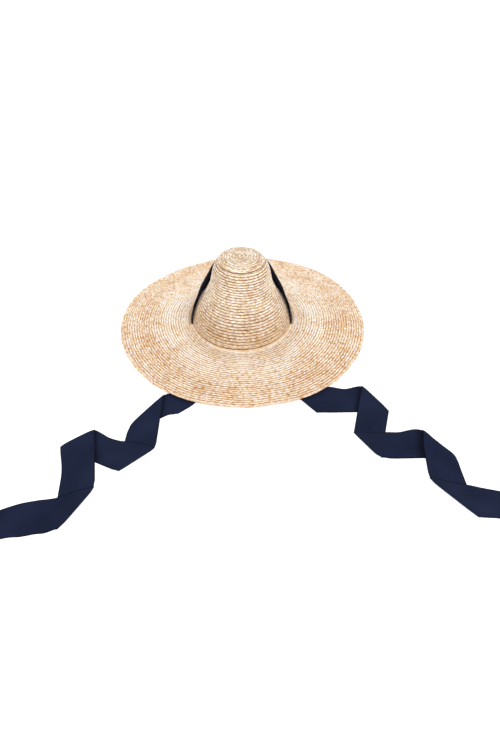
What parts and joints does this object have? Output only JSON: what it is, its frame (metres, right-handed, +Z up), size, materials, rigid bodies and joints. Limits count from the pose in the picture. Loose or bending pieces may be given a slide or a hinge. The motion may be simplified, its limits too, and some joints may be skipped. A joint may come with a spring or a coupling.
{
  "type": "wide-brimmed straw sun hat with ribbon ties",
  "caption": "Wide-brimmed straw sun hat with a tall bell-shaped crown and one long ribbon that runs through slots at the crown's foot and lies in zigzag folds in front.",
  "frame": {"origin": "on the surface the hat rests on, under the middle of the box round the hat and its ties", "axes": "+Z up through the crown, the hat's front and the ties towards -Y, +X to the right as seen from the front"},
  "size_m": [0.8334, 0.7056, 0.142],
  "materials": {
    "straw": "plaited pale straw braid with a soft sheen",
    "ribbon": "navy ribbon with a slight sheen"
  },
  "bodies": {
    "root": {"crown": "straw", "brim": "straw", "ribbon": "ribbon"}
  },
  "joints": []
}
